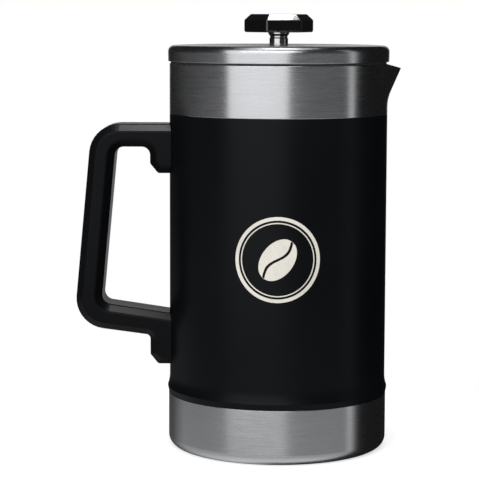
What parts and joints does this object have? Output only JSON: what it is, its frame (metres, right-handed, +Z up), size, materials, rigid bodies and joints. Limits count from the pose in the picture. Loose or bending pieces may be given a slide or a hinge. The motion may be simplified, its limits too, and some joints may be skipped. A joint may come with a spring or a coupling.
{
  "type": "french press",
  "caption": "Insulated steel french press with a pouring beak, loop handle, flat lid and a plunger with a hexagonal knob.",
  "frame": {"origin": "on the vessel's axis, at the plane that the foot ring stands on", "axes": "+Z up along the vessel's axis, +X towards the pouring beak, -X towards the handle"},
  "size_m": [0.1803, 0.1234, 0.2416],
  "materials": {
    "black_coat": "fine-textured satin powder coat",
    "brushed_steel": "brushed around the axis",
    "liner_steel": "satin",
    "polished_steel": "polished",
    "woven_steel": "woven wire",
    "bracket_steel": "pickled",
    "screw_steel": "satin",
    "getter_metal": "sintered grey",
    "brass": "machined",
    "silicone": "smooth matt",
    "handle_plastic": "fine moulded texture",
    "lid_plastic": "moulded",
    "knob_plastic": "gloss",
    "badge_print": "screen print"
  },
  "bodies": {
    "vessel": {"outer_shell": "black_coat", "spout_collar": "brushed_steel", "base_cup": "brushed_steel", "inner_liner": "liner_steel", "shell_bottom": "liner_steel", "port_seal": "liner_steel", "getter": "getter_metal", "badge": "badge_print", "handle": "handle_plastic", "upper_bracket": "bracket_steel", "lower_bracket": "bracket_steel", "handle_screws": "screw_steel"},
    "lid_seal": {"rim_gasket": "silicone"},
    "lid": {"lid_cover": "brushed_steel", "lid_plug": "lid_plastic", "rod_guide": "polished_steel", "guide_washer": "liner_steel", "guide_nut": "liner_steel"},
    "rod_seal": {"rod_o_ring": "silicone"},
    "plunger": {"knob": "knob_plastic", "knob_insert": "brass", "knob_collar": "polished_steel", "plunger_rod": "polished_steel", "cross_plate": "liner_steel", "mesh_screen": "woven_steel", "edge_spring": "polished_steel", "spring_plate": "liner_steel", "filter_nut": "liner_steel", "rod_end_nut": "liner_steel"}
  },
  "joints": [
    {"name": "lid_lift", "type": "slide", "parent": "vessel", "child": "lid_seal", "axis": [0, 0, 1], "range_m": [0, 0.215]},
    {"name": "lid_turn", "type": "hinge", "parent": "lid_seal", "child": "lid", "pos_m": [0, 0, 0.2156], "axis": [0, 0, 1], "continuous": true},
    {"name": "plunger_spin", "type": "hinge", "parent": "lid", "child": "rod_seal", "pos_m": [0, 0, 0.2264], "axis": [0, 0, 1], "continuous": true},
    {"name": "plunger_press", "type": "slide", "parent": "rod_seal", "child": "plunger", "axis": [0, 0, 1], "range_m": [0, 0.178]}
  ]
}
